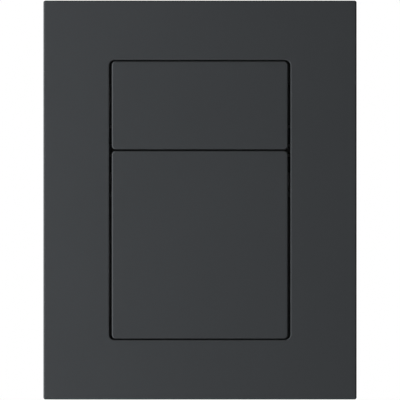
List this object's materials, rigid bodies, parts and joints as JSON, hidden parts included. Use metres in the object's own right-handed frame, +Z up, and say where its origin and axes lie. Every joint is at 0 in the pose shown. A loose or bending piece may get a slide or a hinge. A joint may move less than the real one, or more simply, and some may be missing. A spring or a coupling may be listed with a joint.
{
  "type": "flush button plate",
  "caption": "Portrait flush plate for a concealed cistern: flat matte face with a small and a large hinged rocker button that drive push rods, on a wall frame with fixing studs.",
  "frame": {"origin": "centre of the plate on the finished wall's plane, where the mounting frame's rim stands", "axes": "+Z up, +X to the right seen from the front, +Y into the wall, front of the plate facing -Y"},
  "size_m": [0.157, 0.066, 0.2],
  "materials": {
    "plate_black": "matte lacquer",
    "button_black": "matte lacquer",
    "carrier_black": "moulded, fine grain",
    "frame_grey": "moulded, fine grain",
    "rod_white": "satin",
    "cap_grey": "satin",
    "nut_plastic": "satin",
    "zinc_steel": "zinc plated",
    "bright_steel": "bright drawn",
    "bumper_rubber": "matte"
  },
  "bodies": {
    "plate": {"face_plate": "plate_black", "button_carrier": "carrier_black", "carrier_screws": "zinc_steel", "small_button_hinge_pin": "bright_steel", "large_button_hinge_pin": "bright_steel", "small_button_spring": "bright_steel", "large_button_spring": "bright_steel", "small_button_bumpers": "bumper_rubber", "large_button_bumpers": "bumper_rubber", "mounting_frame": "frame_grey", "fixing_stud_left": "zinc_steel", "fixing_stud_right": "zinc_steel", "fixing_washer_left": "zinc_steel", "fixing_washer_right": "zinc_steel", "fixing_nut_left": "nut_plastic", "fixing_nut_right": "nut_plastic"},
    "small_button": {"small_flush_button": "button_black"},
    "large_button": {"large_flush_button": "button_black"},
    "small_rod": {"small_flush_push_rod": "rod_white", "small_flush_rod_cap": "cap_grey", "small_flush_rod_clip": "bright_steel"},
    "large_rod": {"large_flush_push_rod": "rod_white", "large_flush_rod_cap": "cap_grey", "large_flush_rod_clip": "bright_steel"}
  },
  "joints": [
    {"name": "small_button_hinge", "type": "hinge", "parent": "plate", "child": "small_button", "pos_m": [0, -0.0055, 0.06415], "axis": [1, 0, 0], "range_deg": [0, 5.5], "stiffness_Nm_per_rad": 0.507, "springref_deg": -8.81, "deforming": ["small_button_spring"]},
    {"name": "large_button_hinge", "type": "hinge", "parent": "plate", "child": "large_button", "pos_m": [0, -0.0055, -0.06415], "axis": [-1, 0, 0], "range_deg": [0, 3], "stiffness_Nm_per_rad": 2.028, "springref_deg": -4.41, "deforming": ["large_button_spring"]},
    {"name": "small_rod_slide", "type": "slide", "parent": "plate", "child": "small_rod", "axis": [0, 1, 0], "range_m": [0, 0.00299]},
    {"name": "large_rod_slide", "type": "slide", "parent": "plate", "child": "large_rod", "axis": [0, 1, 0], "range_m": [0, 0.00409]}
  ],
  "couplings": [
    {"joint": "small_rod_slide", "follows": "small_button_hinge", "m_per_rad": 0.03015},
    {"joint": "large_rod_slide", "follows": "large_button_hinge", "m_per_rad": 0.07615}
  ]
}
